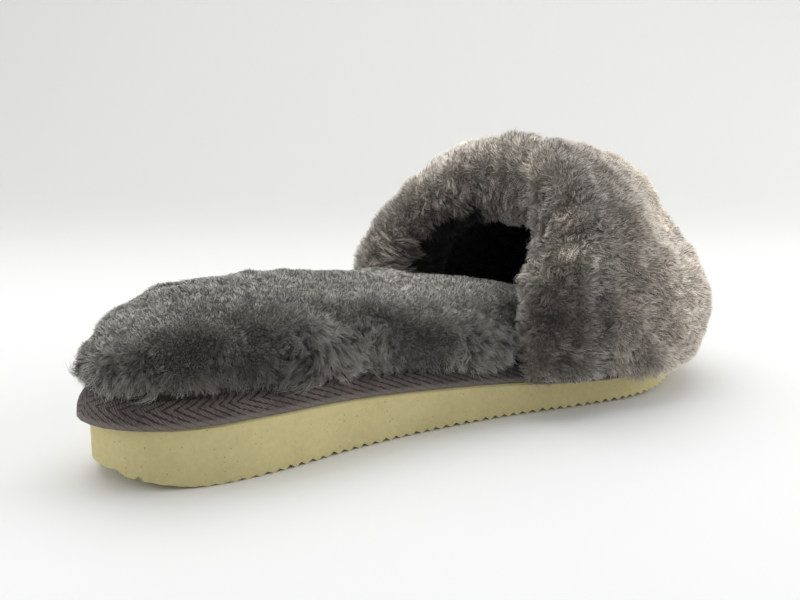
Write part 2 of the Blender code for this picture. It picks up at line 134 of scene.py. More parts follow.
def newGroup(name, inputs, outputs):
    # a colour has four numbers, and any other input has one
    group = bpy.data.node_groups.new(name, "ShaderNodeTree")
    for label, value in inputs.items():
        kind = "NodeSocketColor" if isinstance(value, tuple) else "NodeSocketFloat"
        group.interface.new_socket(label, in_out="INPUT", socket_type=kind).default_value = value
    for label, kind in outputs.items():
        group.interface.new_socket(label, in_out="OUTPUT", socket_type=kind)
    return group, group.nodes.new("NodeGroupInput").outputs, group.nodes.new("NodeGroupOutput").inputs


def fillGroup(tree, group, inputs):
    return addNode(tree, "ShaderNodeGroup", inputs, node_tree=group)


def newMaterial(name, constants):
    material = bpy.data.materials.new(name)
    material.use_nodes = True
    tree = material.node_tree
    shader = tree.nodes["Principled BSDF"]
    for key, value in constants.items():
        shader.inputs[key].default_value = value
    return material, tree, shader


def setMaterials(mesh, *materials):
    mesh.materials.clear()
    for material in materials:
        mesh.materials.append(material)


def colour(red, green, blue):
    # a screen colour from 0 to 255 as the linear value that Blender mixes
    return tuple(((c / 255 + 0.055) / 1.055) ** 2.4 for c in (red, green, blue)) + (1.0,)


# Shared effects: fur tone, and a fine grain for cloth, hide and foam

furRanges = {
    "patch": (0.34, 0.66), "lower": (0.0, 0.6), "upper": (0.45, 1.0), "strandShade": (0.80, 1.20),
    "tuftShade": (0.78, 1.22),
}


def makeFurTone():
    inputs = {
        "Along": 0.5, "Strand": 0.5, "Tuft": 0.5, "Root Colour": (0.02, 0.02, 0.02, 1),
        "Middle Colour": (0.1, 0.1, 0.1, 1), "Tip Colour": (0.4, 0.4, 0.4, 1), "Patchiness": 0.4,
        "Patch Scale": 70.0, "Shade": 1.0,
    }
    group, given, out = newGroup("furTone", inputs, {"Color": "NodeSocketColor"})
    patches = cloud(group, objectCoords(group), given["Patch Scale"], 3.0, 0.6)
    patchShade = rescale(group, patches, *furRanges["patch"], -1.0, 1.0)
    # from root to tip the colour lightens, and its darkness towards the roots is painted shade deep in the pile
    lowShare = rescale(group, given["Along"], *furRanges["lower"])
    lower = blendColour(group, lowShare, given["Root Colour"], given["Middle Colour"])
    highShare = rescale(group, given["Along"], *furRanges["upper"])
    upper = blendColour(group, highShare, lower, given["Tip Colour"])
    strandShade = rescale(group, given["Strand"], 0.0, 1.0, *furRanges["strandShade"])
    tuftShade = rescale(group, given["Tuft"], 0.0, 1.0, *furRanges["tuftShade"])
    patchGain = plus(group, times(group, patchShade, given["Patchiness"]), 1.0)
    gain = times(group, times(group, strandShade, tuftShade), patchGain)
    # the Shade input lays painted light and shade on the colour
    gain = times(group, gain, given["Shade"])
    group.links.new(brighten(group, upper, gain), out["Color"])
    return group


def makeFineGrain():
    inputs = {"Colour": (0.5, 0.5, 0.5, 1), "Mottle": 0.15, "Scale": 400.0}
    outputs = {"Color": "NodeSocketColor", "Height": "NodeSocketFloat"}
    group, given, out = newGroup("fineGrain", inputs, outputs)
    coords = objectCoords(group)
    fine = cloud(group, coords, given["Scale"], 4.0, 0.6)
    broad = cloud(group, coords, times(group, given["Scale"], 0.08), 2.0, 0.5)
    mixed = plus(group, times(group, fine, 0.5), times(group, broad, 0.5))
    swing = times(group, calc(group, "SUBTRACT", mixed, 0.5), given["Mottle"])
    gain = plus(group, times(group, swing, 4.0), 1.0)
    group.links.new(brighten(group, given["Colour"], gain), out["Color"])
    group.links.new(fine, out["Height"])
    return group


furTone = makeFurTone()
fineGrain = makeFineGrain()

# each fur's colours from root to tip, where the dark root colours are painted shade deep in the pile
furColours = {
    "footbed": {
        "root": colour(34, 33, 30), "middle": colour(104, 102, 95), "tip": colour(186, 185, 176),
        "patchiness": 0.22, "sheen": 0.9, "sheenTint": (1.0, 0.98, 0.93, 1.0),
    },
    "cuff": {
        "root": colour(34, 31, 28), "middle": colour(126, 118, 108), "tip": colour(230, 222, 210),
        "patchiness": 0.18, "sheen": 0.9, "sheenTint": (1.0, 0.95, 0.88, 1.0),
    },
    # the toe's lighter colours are partly painted light on the toe
    "toe": {
        "root": colour(48, 43, 39), "middle": colour(160, 150, 138), "tip": colour(232, 221, 206),
        "patchiness": 0.12, "sheen": 0.9, "sheenTint": (1.0, 0.94, 0.86, 1.0),
    },
    # the lining's dark colours and low sheen are the same sheepskin in painted shade, deep inside the upper
    "lining": {
        "root": colour(12, 12, 13), "middle": colour(34, 33, 33), "tip": colour(70, 68, 66),
        "patchiness": 0.25, "sheen": 0.15, "sheenTint": (1.0, 1.0, 1.0, 1.0),
    },
}
# the pelts' sheen is a share of the strands' sheen
furSurface = {
    "strandRough": 0.7, "peltRough": 0.9, "peltSheen": 0.8, "sheenRough": 0.6, "specular": 0.2,
    "peltScale": 1300.0, "peltBump": 0.6, "peltRelief": 0.0008,
}
# pile painted darker than this share of its colour lies deep in the arch, where it takes the lining's material,
# whose dark colours are painted shade
deepShade = 0.27
outerLeast = deepShade + 0.01    # the outer pile stays above that


def furInputs(tree, colours):
    return {
        "Root Colour": colours["root"], "Middle Colour": colours["middle"], "Tip Colour": colours["tip"],
        "Patchiness": colours["patchiness"], "Shade": attribute(tree, "furShade"),
    }


def furConstants(colours, rough, share=1.0):
    return {
        "Roughness": rough, "Sheen Weight": colours["sheen"] * share, "Sheen Tint": colours["sheenTint"],
        "Sheen Roughness": furSurface["sheenRough"], "Specular IOR Level": furSurface["specular"],
    }


def makeStrandMaterial(name, colours):
    material, tree, shader = newMaterial(name, furConstants(colours, furSurface["strandRough"]))
    parts = addNode(tree, "ShaderNodeSeparateColor", {0: attribute(tree, "furTone", "Color")}).outputs
    inputs = furInputs(tree, colours) | {"Along": parts[0], "Strand": parts[1], "Tuft": parts[2]}
    tree.links.new(fillGroup(tree, furTone, inputs).outputs[0], shader.inputs["Base Color"])
    return material


def makePeltMaterial(name, colours):
    constants = furConstants(colours, furSurface["peltRough"], furSurface["peltSheen"])
    material, tree, shader = newMaterial(name, constants)
    pile = cloud(tree, objectCoords(tree), furSurface["peltScale"], 3.0, 0.7)
    inputs = furInputs(tree, colours) | {"Along": rescale(tree, pile, 0.3, 0.75, 0.1, 0.6), "Strand": pile}
    tree.links.new(fillGroup(tree, furTone, inputs).outputs[0], shader.inputs["Base Color"])
    addBump(tree, shader, pile, furSurface["peltBump"], furSurface["peltRelief"])
    return material


strandMaterials = {name: makeStrandMaterial(name + "Strands", furColours[name]) for name in furColours}
peltMaterials = {name: makePeltMaterial(name + "Pelt", furColours[name]) for name in furColours}
print("fur materials made")


# Arrays: unit vectors, wandering fields, and the points and normals of a mesh

shortest = 1e-9
waveTurns = 2.2    # bends of one wave over a field's size


def unit(vectors):
    return vectors / np.maximum(np.linalg.norm(vectors, axis=1, keepdims=True), shortest)


def ease(values, low, high):
    t = np.clip((values - low) / (high - low), 0, 1)
    return t * t * (3 - 2 * t)


def behind(points, place, spread):
    # 1 behind this place along the slipper, 0 ahead of it
    return ease(place - points[:, 0], 0, spread)


def below(points, place, spread):
    return ease(place - points[:, 2], 0, spread)


def dome(away, reach):
    return np.exp(-((away / reach) ** 2))


def domesAt(points, places):
    # for each place how near the points are, up to 1 in its middle, and the amount that goes with it
    for middle, reach, amount in places:
        yield dome(np.linalg.norm(points - np.array(middle), axis=1), reach), amount


def swirl(points, size, seed, waves=9):
    # a smooth wandering field of vectors whose bends are about this size
    rng = np.random.default_rng(seed)
    total = np.zeros_like(points)
    for _ in range(waves):
        wave = rng.normal(size=3) * waveTurns / size
        phase = rng.uniform(0, 2 * math.pi, 3)
        total += rng.normal(size=3) * np.sin((points @ wave)[:, None] + phase)
    return total / math.sqrt(waves)


def formOf(*meshes):
    form = bmesh.new()
    for mesh in meshes:
        form.from_mesh(mesh)
    return form


def intoMesh(form, mesh):
    form.to_mesh(mesh)
    form.free()


def meshPoints(mesh):
    points = np.empty(len(mesh.vertices) * 3, dtype=np.float32)
    mesh.vertices.foreach_get("co", points)
    normals = np.empty(len(mesh.vertices) * 3, dtype=np.float32)
    mesh.vertex_normals.foreach_get("vector", normals)
    return points.reshape(-1, 3).astype(float), normals.reshape(-1, 3).astype(float)


# The roll of the cuff: a point's turn round the arch, and round the roll itself

archMiddle = (0.004, 0.035)
turnWindow = 0.14
rollTurns = np.radians([0, 14, 22, 30, 42, 51, 63, 75, 95, 180])
partingTurns = np.radians([20, 30, 80, 135, 141, 120, 56, 18, 2, 0])


def archTurn(points):
    # 0 at the near foot of the arch, a quarter turn at its top, half a turn at the far foot
    across, up = points[:, 1] - archMiddle[0], points[:, 2] - archMiddle[1]
    return np.arctan2(up, -across), np.hypot(across, up)


def rollMiddles(mesh, steps=24):
    # the roll's middle at even turns round the arch: its place along the slipper and its reach from the arch
    points, _ = meshPoints(mesh)
    turn, reach = archTurn(points)
    marks = np.linspace(0, math.pi, steps)
    alongs, reaches = [], []
    for mark in marks:
        close = np.abs(turn - mark) < turnWindow
        alongs.append((points[close, 0].min() + points[close, 0].max()) / 2)
        reaches.append((reach[close].min() + reach[close].max()) / 2)
    return marks, np.array(alongs), np.array(reaches)


rollLine = rollMiddles(nodes["cuff"].data)


def rollPlace(points):
    # turn round the arch, turn round the roll (0 at the lip, a quarter turn outside), and the parting there
    turn, reach = archTurn(points)
    along = np.interp(turn, rollLine[0], rollLine[1])
    middle = np.interp(turn, rollLine[0], rollLine[2])
    around = np.arctan2(reach - middle, along - points[:, 0])
    return turn, around, np.interp(turn, rollTurns, partingTurns)


def insideParting(points):
    # 1 on the lining's fur that is turned out over the lip, 0 on the outer fur
    _, around, parting = rollPlace(points)
    return ease(parting - around, -0.25, 0.25) * behind(points, 0.158, 0.010)


# Painted light and shade of the pile by place: how lit or shaded each stretch of fur is by its own depth,
# painted into its colour

paintedSpots = {
    # painted shade where the pile opens on its dark roots and at other shaded spots, and below 0 a painted
    # highlight where it catches the light: middle, reach and depth
    "footbed": [
        ((-0.003, -0.029, 0.032), 0.011, 0.40),
        ((0.018, -0.029, 0.031), 0.010, 0.32),
        ((-0.041, 0.002, 0.046), 0.020, -0.80),
        ((-0.037, -0.018, 0.036), 0.012, -0.30),
    ],
    "cuff": [
        ((0.124, -0.041, 0.043), 0.011, 0.45),
        ((0.136, -0.049, 0.036), 0.016, 0.38),
        ((0.122, -0.039, 0.028), 0.010, 0.30),
        ((0.120, -0.030, 0.055), 0.012, -0.45),
        ((0.154, -0.030, 0.086), 0.022, 0.40),
    ],
}

# painted light and shade of the footbed's pile: darker sides, lighter higher up, on top and towards the ball,
# and darker clefts between tufts
footbedShading = {
    "side": 0.40, "rise": 0.24, "riseHeights": (0.036, 0.056), "top": 0.46, "topFacing": (0.55, 0.95),
    "ball": 0.56, "ballPlaces": (0.045, 0.085), "tuft": 0.24, "tuftOnTop": 0.06,
}
# painted light and shade of the cuff's and toe's pile
# here and in the shapes below, pairs called "End" say where an effect ends and over what length, and
# other pairs run from one value to another
upperShading = {
    "cuffEnd": (0.156, 0.016), "inside": 0.42, "insideFar": 0.44, "farTurns": (1.45, 2.0),
    "insideArounds": (0.1, 1.3), "insideFacing": (-0.5, 0.3), "insideEnd": (0.172, 0.020), "deepFrom": 0.4,
    "rim": 1.38, "rimTurns": (1.0, 1.4), "rimArounds": (0.2, 1.0), "nearTurns": (0.8, 1.2), "lit": 0.22,
    "litTurns": (0.30, 0.55), "foot": 0.24, "footEnd": (0.42, 0.25), "toe": 0.84, "toePlaces": (0.164, 0.198),
    "outer": 0.10, "outerArounds": (0.2, 0.6), "outerEnd": (0.186, 0.016), "ridge": 0.30,
    "ridgeTurns": (0.7, 1.1), "ridgePast": 0.1, "ridgeWidth": 0.28, "ringlet": 0.55, "tuft": 0.08,
    "tuftLow": 0.20,
}
ringletShape = {"size": 0.0042, "seed": 6, "space": (0.045, 0.0045, 0.15)}
tallest = 1.5    # a tuft or ringlet is cut off at this height


def paintedSpotShade(points, places):
    # each spot darkens the colour as painted shade, and lightens it as a painted highlight where its depth is
    # below 0
    shade = np.ones(len(points))
    for close, depth in domesAt(points, places):
        shade *= 1 - depth * close
    return shade


def tufts(points):
    # the pile's tufts, above 0 on their crowns and below 0 in the clefts between them
    return np.clip(swirl(points, peltSizes["tuftSize"], peltSizes["tuftSeed"])[:, 0], -tallest, tallest)


def drawnOut(points, perTurn, perAround, along):
    # places laid out flat along the pile's run over the roll, so that fields on them are drawn out that way
    turn, around, _ = rollPlace(points)
    return np.stack([turn * perTurn, around * perAround, points[:, 0] * along], axis=1)


def ringlets(points):
    # the lining's turned-out wool hangs in ringlets
    flat = drawnOut(points, *ringletShape["space"])
    return np.clip(swirl(flat, ringletShape["size"], ringletShape["seed"])[:, 0], -tallest, tallest)


def footbedShade(points, normals):
    look = footbedShading
    top = ease(normals[:, 2], *look["topFacing"])
    shade = look["side"] + look["rise"] * ease(points[:, 2], *look["riseHeights"]) + look["top"] * top
    shade *= 1 + look["ball"] * ease(points[:, 0], *look["ballPlaces"])
    # painted shade in the clefts between tufts and painted light on their crowns, less on top
    shade *= 1 + (look["tuft"] + (look["tuftOnTop"] - look["tuft"]) * top) * tufts(points)
    return np.maximum(shade * paintedSpotShade(points, paintedSpots["footbed"]), outerLeast)


def upperShade(points, normals):
    look = upperShading
    turn, around, parting = rollPlace(points)
    inner = insideParting(points)
    onCuff = behind(points, *look["cuffEnd"])
    # painted shade on the far side's inner face, and painted light on its rim
    inward = normals[:, 1] * np.cos(turn) - normals[:, 2] * np.sin(turn)
    inside = ease(-around, *look["insideArounds"]) * ease(inward, *look["insideFacing"])
    inside *= behind(points, *look["insideEnd"])
    shade = 1 - (look["inside"] + look["insideFar"] * ease(turn, *look["farTurns"])) * inside
    rim = onCuff * ease(turn, *look["rimTurns"]) * ease(around, *look["rimArounds"]) * (1 - inner)
    shade *= 1 + look["rim"] * rim
    # painted light on the near side's turned-out wool above, and painted shade where it meets the footbed
    near = 1 - ease(turn, *look["nearTurns"])
    footTurn, footSpread = look["footEnd"]
    lit = look["lit"] * ease(turn, *look["litTurns"]) - look["foot"] * ease(footTurn - turn, 0, footSpread)
    shade *= 1 + near * onCuff * lit
    # painted light towards the toe, and painted shade on the near side's outer pile
    shade *= 1 + look["toe"] * ease(points[:, 0], *look["toePlaces"])
    shade *= 1 - look["outer"] * near * ease(around, *look["outerArounds"]) * behind(points, *look["outerEnd"])
    # a painted highlight on the ridge of wool that stands up along the parting
    ridge = dome(around - parting - look["ridgePast"], look["ridgeWidth"])
    shade *= 1 + look["ridge"] * onCuff * ease(turn, *look["ridgeTurns"]) * ridge
    # painted shade in the clefts between ringlets and tufts, and painted light on their crowns
    tuft = look["tuft"] + look["tuftLow"] * near * onCuff * (1 - inner)
    shade *= 1 + look["ringlet"] * inner * ringlets(points) + tuft * (1 - inner) * tufts(points)
    shade *= paintedSpotShade(points, paintedSpots["cuff"])
    # only on the inner face may painted shade fall deep enough to take the lining's material
    return np.where(inside > look["deepFrom"], shade, np.maximum(shade, outerLeast))


def liningShade(points, normals):
    # painted shade, darker towards the toe, deeper inside the upper
    return 1 - 0.6 * ease(points[:, 0], 0.13, 0.17)


def writeValues(mesh, label, values):
    layer = mesh.attributes.new(label, "FLOAT", "POINT")
    layer.data.foreach_set("value", values.astype(np.float32))


# Pelts: the carved solids melted into soft skins, which carry the strands

peltSizes = {
    "voxel": 0.0020, "softening": {"footbedPelt": 30, "upperPelt": 24}, "settling": 3, "blend": 0.5,
    "lumpSize": 0.012, "lumpHeight": 0.0004, "lumpSeed": 3, "tuftSize": 0.0045, "tuftHeight": 0.0004,
    "tuftSeed": 4, "sinkHeights": (0.026, 0.042), "upperSink": 0.0012, "footbedRise": 0.0008, "fill": 0.75,
}

# where the pile swells or sinks: middle, reach, amount
upperSwellings = [
    ((0.126, 0.058, 0.050), 0.026, 0.0040),
    ((0.146, 0.004, 0.103), 0.018, -0.0018),
    ((0.212, -0.038, 0.034), 0.020, 0.0040),
    ((0.196, -0.036, 0.068), 0.017, -0.0040),
    ((0.127, -0.026, 0.070), 0.018, -0.0050),
    ((0.120, -0.030, 0.055), 0.010, -0.0020),
    ((0.117, -0.032, 0.040), 0.009, 0.0020),
]
footbedSwellings = [
    ((-0.040, 0.008, 0.052), 0.014, -0.0026),
    ((0.120, 0.000, 0.050), 0.030, 0.0034),
    ((0.088, -0.034, 0.034), 0.018, 0.0025),
    ((0.116, -0.036, 0.028), 0.015, 0.0055),
    ((0.088, 0.040, 0.034), 0.018, 0.0025),
]

# the foot of the pad's sides lies just over the tape, which falls with the sole towards the ball
footLine = {"along": (-0.04, 0.03, 0.10, 0.22), "height": (0.0325, 0.0305, 0.0215, 0.0190), "reach": 0.006}
footSwell = {"amount": 0.0022, "heel": 0.35, "heelPlaces": (-0.025, 0.015)}
# the ridge where the cuff's fur parts, and the gathers round the toe
ridgeSwell = {"amount": 0.0013, "width": 0.3, "frontEnd": (0.160, 0.010), "backPlaces": (0.095, 0.105)}
ringletRelief = 0.0018
gatherSwell = {
    "amount": 0.0003, "count": 52, "middle": (0.150, 0.004), "sway": 1.5, "size": 0.03, "seed": 8,
    "frontPlaces": (0.165, 0.190), "topEnd": (0.075, 0.030),
}
# the lip's shifts forwards, up at its hem and down where it hangs, with the middle and reach of the hang's turn
lipShape = {
    "side": 0.026, "foot": 0.0075, "footTopEnd": (0.056, 0.014), "footEnd": (0.135, 0.022), "footLow": 0.6,
    "footLowHeights": (0.024, 0.036), "top": 0.0036, "topHeights": (0.052, 0.080), "topEnd": (0.165, 0.036),
    "hem": 0.0028, "hemTopEnd": (0.034, 0.010), "hemEnd": (0.165, 0.020), "hang": 0.0125, "hangBack": 0.0015,
    "hangTurn": (1.50, 0.42), "hangArounds": (-0.7, 0.8), "hangEnd": (0.168, 0.028),
}


def swellAt(points, swellings):
    return sum(amount * close for close, amount in domesAt(points, swellings))


def footAt(points, normals):
    # 1 at the foot of the pad's sides
    over = points[:, 2] - np.interp(points[:, 0], footLine["along"], footLine["height"])
    return ease(footLine["reach"] - over, 0, footLine["reach"]) * ease(0.5 - normals[:, 2], 0, 0.5)


def footbedSwell(points, normals):
    swell = swellAt(points, footbedSwellings)
    swell += peltSizes["footbedRise"] * ease(points[:, 2], *peltSizes["sinkHeights"])
    towardsBall = footSwell["heel"] + (1 - footSwell["heel"]) * ease(points[:, 0], *footSwell["heelPlaces"])
    return swell + footSwell["amount"] * footAt(points, normals) * towardsBall


def upperSwell(points, normals):
    swell = swellAt(points, upperSwellings)
    swell -= peltSizes["upperSink"] * ease(points[:, 2], *peltSizes["sinkHeights"])
    _, around, parting = rollPlace(points)
    onCuff = behind(points, *ridgeSwell["frontEnd"]) * ease(points[:, 0], *ridgeSwell["backPlaces"])
    swell += ridgeSwell["amount"] * dome(around - parting, ridgeSwell["width"]) * onCuff
    swell += ringletRelief * insideParting(points) * ringlets(points)
    fan = np.arctan2(points[:, 1] - gatherSwell["middle"][1], points[:, 0] - gatherSwell["middle"][0])
    sway = gatherSwell["sway"] * swirl(points, gatherSwell["size"], gatherSwell["seed"])[:, 0]
    low = ease(points[:, 0], *gatherSwell["frontPlaces"]) * below(points, *gatherSwell["topEnd"])
    return swell + gatherSwell["amount"] * np.sin(fan * gatherSwell["count"] + sway) * low


def lipShift(points):
    # the near lip stands further forward than the cuff's solid, at its foot and where it turns in at the top
    shape = lipShape
    turn, around, _ = rollPlace(points)
    beside = ease(-points[:, 1], 0.0, shape["side"])
    foot = below(points, *shape["footTopEnd"]) * behind(points, *shape["footEnd"])
    foot *= shape["footLow"] + (1 - shape["footLow"]) * ease(points[:, 2], *shape["footLowHeights"])
    top = ease(points[:, 2], *shape["topHeights"]) * behind(points, *shape["topEnd"])
    shift = np.zeros_like(points)
    shift[:, 0] = beside * (shape["foot"] * foot + shape["top"] * top)
    shift[:, 2] = shape["hem"] * beside * below(points, *shape["hemTopEnd"]) * behind(points, *shape["hemEnd"])
    # the turned-in wool hangs down over the near half of the opening
    hang = dome(turn - shape["hangTurn"][0], shape["hangTurn"][1])
    hang *= ease(-around, *shape["hangArounds"]) * behind(points, *shape["hangEnd"])
    shift[:, 2] -= shape["hang"] * hang
    shift[:, 0] -= shape["hangBack"] * hang
    return shift


def meltedPelt(name, sources, swellBy, shiftBy=None):
    mesh = bpy.data.meshes.new(name)
    intoMesh(formOf(*(nodes[source].data for source in sources)), mesh)
    pelt = addObject(name, mesh)
    remesh = pelt.modifiers.new("melt", "REMESH")
    remesh.mode = "VOXEL"
    remesh.voxel_size = peltSizes["voxel"]
    smooth = pelt.modifiers.new("soften", "SMOOTH")
    smooth.factor = peltSizes["blend"]
    smooth.iterations = peltSizes["softening"][name]
    graph = bpy.context.evaluated_depsgraph_get()
    made = bpy.data.meshes.new_from_object(pelt.evaluated_get(graph))
    pelt.modifiers.clear()
    pelt.data = made
    bpy.data.meshes.remove(mesh)
    points, normals = meshPoints(made)
    lumps = sum(
        peltSizes[kind + "Height"] * swirl(points, peltSizes[kind + "Size"], peltSizes[kind + "Seed"])[:, 0]
        for kind in ("lump", "tuft")
    )
    move = normals * (lumps + swellBy(points, normals))[:, None]
    if shiftBy:
        move += shiftBy(points)
    made.vertices.foreach_set("co", (points + move).reshape(-1).astype(np.float32))
    form = formOf(made)
    axes = {"use_axis_x": True, "use_axis_y": True, "use_axis_z": True}
    for _ in range(peltSizes["settling"]):
        bmesh.ops.smooth_vert(form, verts=form.verts, factor=peltSizes["blend"], **axes)
    intoMesh(form, made)
    made.update()
    made.shade_smooth()
    return pelt


def nearestSource(pelt, sources):
    # which of the solids each face of a shared pelt lies on
    trees = []
    for source in sources:
        form = formOf(nodes[source].data)
        trees.append(BVHTree.FromBMesh(form))
        form.free()
    choices = range(len(trees))
    return [min(choices, key=lambda k: trees[k].find_nearest(face.center)[3]) for face in pelt.data.polygons]


def keepFaces(pelt, name, wanted):
    # a copy of the pelt with only these faces
    piece = addObject(name, pelt.data.copy())
    form = formOf(piece.data)
    doomed = [face for face, keep in zip(form.faces, wanted) if not keep]
    bmesh.ops.delete(form, geom=doomed, context="FACES")
    intoMesh(form, piece.data)
    return piece


def dressPelt(pelt, finish, slot, shadeBy, *sources):
    points, normals = meshPoints(pelt.data)
    shade = shadeBy(points, normals)
    # the pelt's painted light and shade, where faces in deep painted shade take the lining's darker material
    writeValues(pelt.data, "furShade", np.maximum(shade, deepShade))
    setMaterials(pelt.data, peltMaterials[finish], peltMaterials["lining"])
    for face in pelt.data.polygons:
        face.material_index = int(shade[list(face.vertices)].mean() < deepShade)
    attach(pelt, "root")
    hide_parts(*sources)
    print(pelt.name, "melted:", len(pelt.data.polygons), "faces")


footbedPelt = meltedPelt("footbedPelt", ["insole_fur"], footbedSwell)
dressPelt(footbedPelt, "footbed", "insole_fur", footbedShade, "insole_fur")

# cuff and toe are melted together, so that the fur runs over their join, and then parted again
upperPelt = meltedPelt("upperPelt", ["cuff", "upper_fur"], upperSwell, lipShift)
owners = nearestSource(upperPelt, ["cuff", "upper_fur"])
cuffPelt = keepFaces(upperPelt, "cuffPelt", [owner == 0 for owner in owners])
toePelt = keepFaces(upperPelt, "toePelt", [owner == 1 for owner in owners])
bpy.data.objects.remove(upperPelt)
dressPelt(cuffPelt, "cuff", "cuff_fur", upperShade, "cuff")
dressPelt(toePelt, "toe", "upper_fur", upperShade, "upper_fur")


# Strands: slim leaves of two triangles, gathered into locks and combed along the pile

def scatterRoots(mesh, count, rng, grows):
    mesh.calc_loop_triangles()
    corners = np.empty(len(mesh.loop_triangles) * 3, dtype=np.int32)
    mesh.loop_triangles.foreach_get("vertices", corners)
    corners = corners.reshape(-1, 3)
    places, normals = meshPoints(mesh)
    a, b, c = (places[corners[:, i]] for i in range(3))
    areas = np.linalg.norm(np.cross(b - a, c - a), axis=1)
    areas *= grows(places[corners].mean(axis=1), unit(normals[corners].sum(axis=1)))
    reach = np.cumsum(areas)
    picked = np.minimum(np.searchsorted(reach, rng.uniform(0, reach[-1], count)), len(corners) - 1)
    u, v = rng.uniform(size=count), rng.uniform(size=count)
    u, v = np.where(u + v > 1, 1 - u, u), np.where(u + v > 1, 1 - v, v)
    shares = np.stack([1 - u - v, u, v], axis=1)[:, :, None]
    return (places[corners[picked]] * shares).sum(axis=1), unit((normals[corners[picked]] * shares).sum(axis=1))


def nearestOf(centres, points):
    tree = kdtree.KDTree(len(centres))
    for i, centre in enumerate(centres):
        tree.insert(centre, i)
    tree.balance()
    find = tree.find
    return np.array([find(point)[1] for point in points])


# what all the fur shares: how much of its lean, curl and gather shorn pile keeps, and a strand's bend
strandShape = {
    "ruffleSwing": 0.45, "smoothLean": 0.35, "smoothCurl": 0.4, "smoothGather": 0.3, "leastClimb": 0.35,
    "middleRise": 0.8, "middlePlace": 0.5, "middleGather": 0.3, "tipCurl": 0.6, "gathers": (0.3, 1.5),
    "widths": (0.6, 1.4), "twist": 0.8, "leanShading": 0.4, "smoothTone": 0.4,
}


def growFur(name, pelt, material, look, combed, grows, shadeBy, heightBy, ruffleBy=None, lockSpace=None):
    rng = np.random.default_rng(look["seed"])
    shape, count = strandShape, look["strands"]
    roots, normals = scatterRoots(pelt.data, count, rng, grows)
    # where the pile is ruffled its strands lean and gather more; elsewhere it is shorn smooth
    ruffle = swirl(roots, look["ruffleSize"], look["seed"] + 2)[:, 0]
    ruffle = look["ruffled"] + shape["ruffleSwing"] * ruffle + (ruffleBy(roots, normals) if ruffleBy else 0)
    ruffle = np.clip(ruffle, 0, 1)[:, None]
    lay = combed(roots, normals)
    lean = shape["smoothLean"] + ruffle
    lay += look["wander"] * lean * swirl(roots, look["wanderSize"], look["seed"] + 1)
    lay -= normals * (lay * normals).sum(axis=1, keepdims=True)
    # every lock has a leader strand, and the strands round it lean in to its tip
    leaders = rng.choice(count, count // look["perLock"], replace=False)
    lockPlaces = lockSpace(roots) if lockSpace else roots
    lock = leaders[nearestOf(lockPlaces[leaders], lockPlaces)]
    lockDraw = rng.uniform(size=count)
    lockLean = look["lockLean"] * rng.normal(size=(count, 3))[lock]
    stray = look["stray"] * rng.normal(size=(count, 3))
    rise = unit(normals + (lay + lockLean) * lean + stray)
    curl = look["curl"] * rng.normal(size=(count, 3)) * (shape["smoothCurl"] + ruffle)
    # the pile is shorn, so that strands end at nearly one height whichever way they lean
    height = look["height"] * (1 + look["uneven"] * rng.normal(size=count))
    height *= 1 + look["lockUneven"] * (lockDraw[lock] - 0.5)
    height = (height * heightBy(roots, normals))[:, None]
    climb = np.maximum((rise * normals).sum(axis=1, keepdims=True), shape["leastClimb"])
    middle = roots + unit(normals * shape["middleRise"] + rise) * height / climb * shape["middlePlace"]
    tip = roots + unit(rise + curl * shape["tipCurl"]) * height / climb
    pull = look["gather"] * (shape["smoothGather"] + ruffle) * rng.uniform(*shape["gathers"], count)[:, None]
    middle += (middle[lock] - middle) * pull * shape["middleGather"]
    tip += (tip[lock] - tip) * pull
    side = unit(np.cross(tip - roots, normals + shape["twist"] * rng.normal(size=(count, 3))))
    width = look["width"] * rng.uniform(*shape["widths"], count)[:, None]
    coords = np.stack([roots, middle - side * width / 2, middle + side * width / 2, tip], axis=1)
    # the shading of a strand follows the round of its lock more than its own flat face
    axis = roots[lock] - roots
    swing = axis * look["lockRelief"] * ruffle / look["lockRound"]
    roundness = unit(normals + rise * shape["leanShading"] - swing)
    shading = np.repeat(roundness[:, None, :], 4, axis=1)
    tones = np.ones((count, 4, 4))
    tones[:, :, 0] = (0.0, 0.5, 0.5, 1.0)
    tones[:, :, 1] = rng.uniform(size=count)[:, None]
    smoothTone = shape["smoothTone"]
    tones[:, :, 2] = 0.5 + (lockDraw[lock] - 0.5)[:, None] * (smoothTone + ruffle * (1 - smoothTone))
    strands = strandObject(name, coords, shading, tones, normals)
    # each strand's painted light and shade, where strands in deep painted shade take the lining's darker
    # material
    shade = shadeBy(roots, normals)
    setMaterials(strands.data, material, strandMaterials["lining"])
    strands.data.polygons.foreach_set("material_index", np.repeat(shade < deepShade, 2).astype(np.int32))
    writeValues(strands.data, "furShade", np.repeat(np.maximum(shade, deepShade), 4))
    return strands


